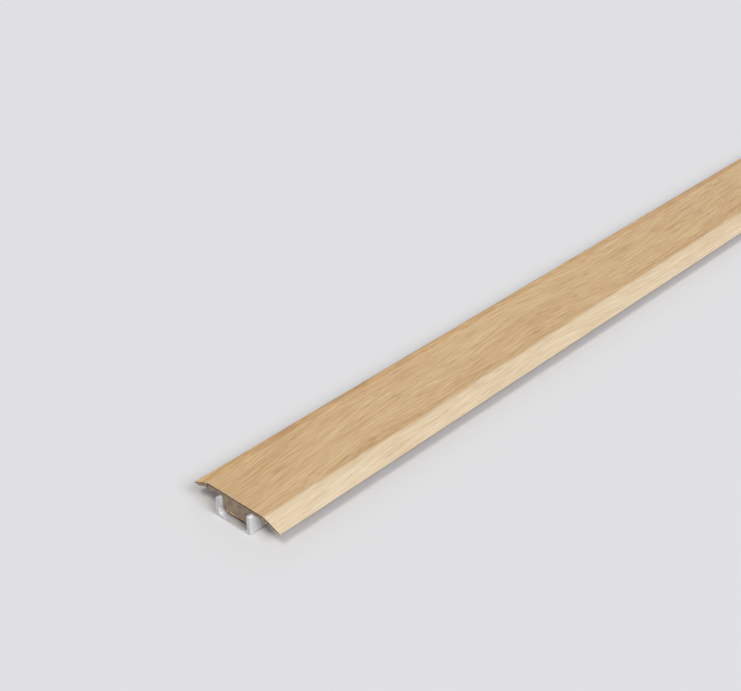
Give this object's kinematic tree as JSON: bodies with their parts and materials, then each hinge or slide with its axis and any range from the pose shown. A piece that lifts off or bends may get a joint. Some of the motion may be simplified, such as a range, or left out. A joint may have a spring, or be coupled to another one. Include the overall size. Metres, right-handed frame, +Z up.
{
  "type": "threshold strip",
  "caption": "Floor threshold strip: an oak-look T-section cover whose stem presses down between the serrated arms of a screw-down aluminium base rail.",
  "frame": {"origin": "on the floor plane, in the middle of the whole strip's length and width", "axes": "+X along the strip, away from the end where the base rail stands out past the cover; +Y across it; +Z up from the floor"},
  "size_m": [0.902, 0.048, 0.0111],
  "materials": {
    "rail_aluminium": "extruded, satin",
    "fibreboard": "raw milled high-density fibreboard",
    "oak_foil": "satin printed light oak",
    "kraft_paper": "matt",
    "backing_board": "matt, resin-soaked"
  },
  "bodies": {
    "rail": {"base_rail": "rail_aluminium"},
    "cover": {"cover_core": "fibreboard", "decor_foil": "oak_foil", "underside_paper": "kraft_paper", "stem_foot_strip": "backing_board"}
  },
  "joints": [
    {"name": "cover_lift", "type": "slide", "parent": "rail", "child": "cover", "axis": [0, 0, 1], "range_m": [0, 0.012]}
  ]
}
